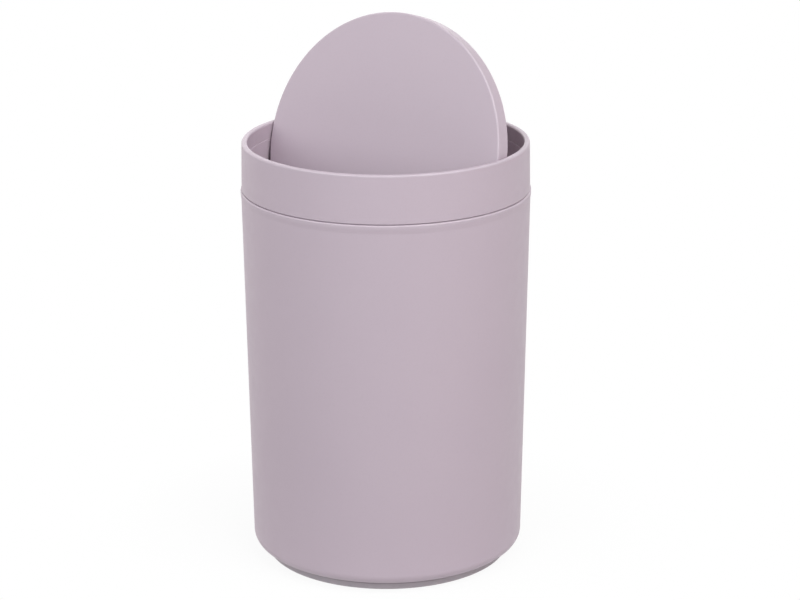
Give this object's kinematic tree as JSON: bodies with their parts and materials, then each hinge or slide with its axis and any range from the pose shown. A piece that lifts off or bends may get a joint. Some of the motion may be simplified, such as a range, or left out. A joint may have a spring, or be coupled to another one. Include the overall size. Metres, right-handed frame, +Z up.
{
  "type": "countertop trash can with swing lid",
  "caption": "Small round countertop bin: tapered tub, lift-off collar and a flat round lid that swings about a level axis in the collar.",
  "frame": {"origin": "centre of the surface that the bin stands on, under the middle of the tub", "axes": "+Z up; X along the lid's pivot axis; -Y the front, the side where the lid's lower half goes down into the bin"},
  "size_m": [0.152, 0.152, 0.2899],
  "materials": {
    "moulded_polypropylene": "fine matte, moulded in colour, dusty mauve",
    "foot_elastomer": "matte, soft, mauve grey",
    "dowel_steel": "ground stainless"
  },
  "bodies": {
    "bin": {"bin_body": "moulded_polypropylene", "base_foot_ring": "foot_elastomer"},
    "collar": {"collar_ring": "moulded_polypropylene", "collar_inner_ring": "moulded_polypropylene"},
    "lid": {"lid_top_shell": "moulded_polypropylene", "lid_underside_cover": "moulded_polypropylene", "pivot_pin_right": "dowel_steel", "pivot_pin_left": "dowel_steel"}
  },
  "joints": [
    {"name": "collar_lift", "type": "slide", "parent": "bin", "child": "collar", "axis": [0, 0, 1], "range_m": [0, 0.06]},
    {"name": "lid_swing", "type": "hinge", "parent": "collar", "child": "lid", "pos_m": [0, 0, 0.22], "axis": [1, 0, 0], "continuous": true}
  ]
}
